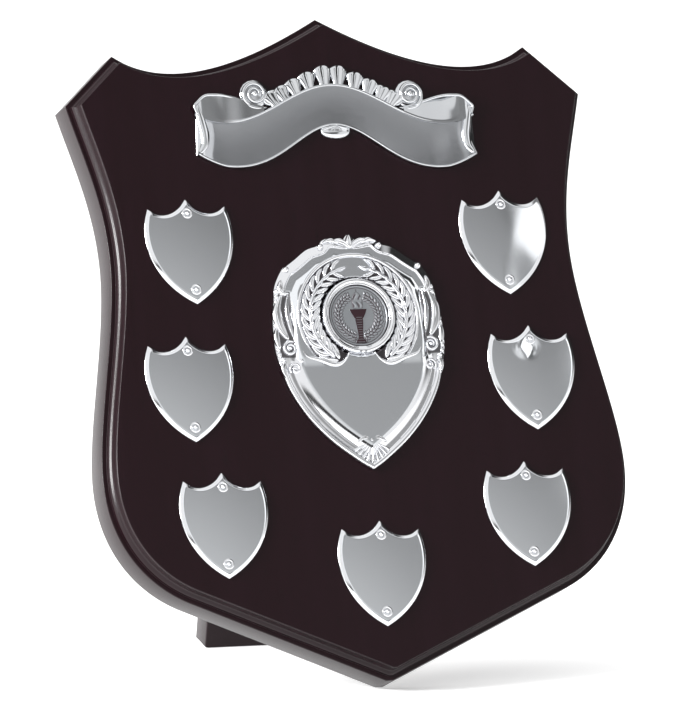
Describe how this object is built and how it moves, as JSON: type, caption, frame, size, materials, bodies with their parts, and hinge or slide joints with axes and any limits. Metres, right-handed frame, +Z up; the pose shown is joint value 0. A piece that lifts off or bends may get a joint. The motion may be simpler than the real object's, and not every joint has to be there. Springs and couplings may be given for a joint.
{
  "type": "award shield",
  "caption": "Dark lacquered wooden shield board leaning on a leg, with a pressed ribbon scroll, a centre shield holding a torch disc, and small blank pinned shields.",
  "frame": {"origin": "on the ground, in the middle of the underside of the space that the award takes up", "axes": "+Z up, the face of the board looks towards -Y and leans back towards +Y, +X is to the right when facing it"},
  "size_m": [0.224, 0.1428, 0.2615],
  "materials": {
    "board_lacquer": "dark mahogany stain under a satin lacquer",
    "leg_lacquer": "dark mahogany stain under a satin lacquer",
    "plate_chrome": "bright pressed plate, with a finely brushed field on the scroll",
    "disc_pewter": "struck silver disc with a dark antique wash in its hollows",
    "pin_chrome": "bright domed pin heads"
  },
  "bodies": {
    "root": {"board": "board_lacquer", "leg": "leg_lacquer", "scroll": "plate_chrome", "centre_shield": "plate_chrome", "centre_disc": "disc_pewter", "shield_top_left": "plate_chrome", "shield_top_right": "plate_chrome", "shield_middle_left": "plate_chrome", "shield_middle_right": "plate_chrome", "shield_lower_left": "plate_chrome", "shield_lower_right": "plate_chrome", "shield_bottom": "plate_chrome", "pin_top_left_upper": "pin_chrome", "pin_top_left_lower": "pin_chrome", "pin_top_right_upper": "pin_chrome", "pin_top_right_lower": "pin_chrome", "pin_middle_left_upper": "pin_chrome", "pin_middle_left_lower": "pin_chrome", "pin_middle_right_upper": "pin_chrome", "pin_middle_right_lower": "pin_chrome", "pin_lower_left_upper": "pin_chrome", "pin_lower_left_lower": "pin_chrome", "pin_lower_right_upper": "pin_chrome", "pin_lower_right_lower": "pin_chrome", "pin_bottom_upper": "pin_chrome", "pin_bottom_lower": "pin_chrome"}
  },
  "joints": []
}
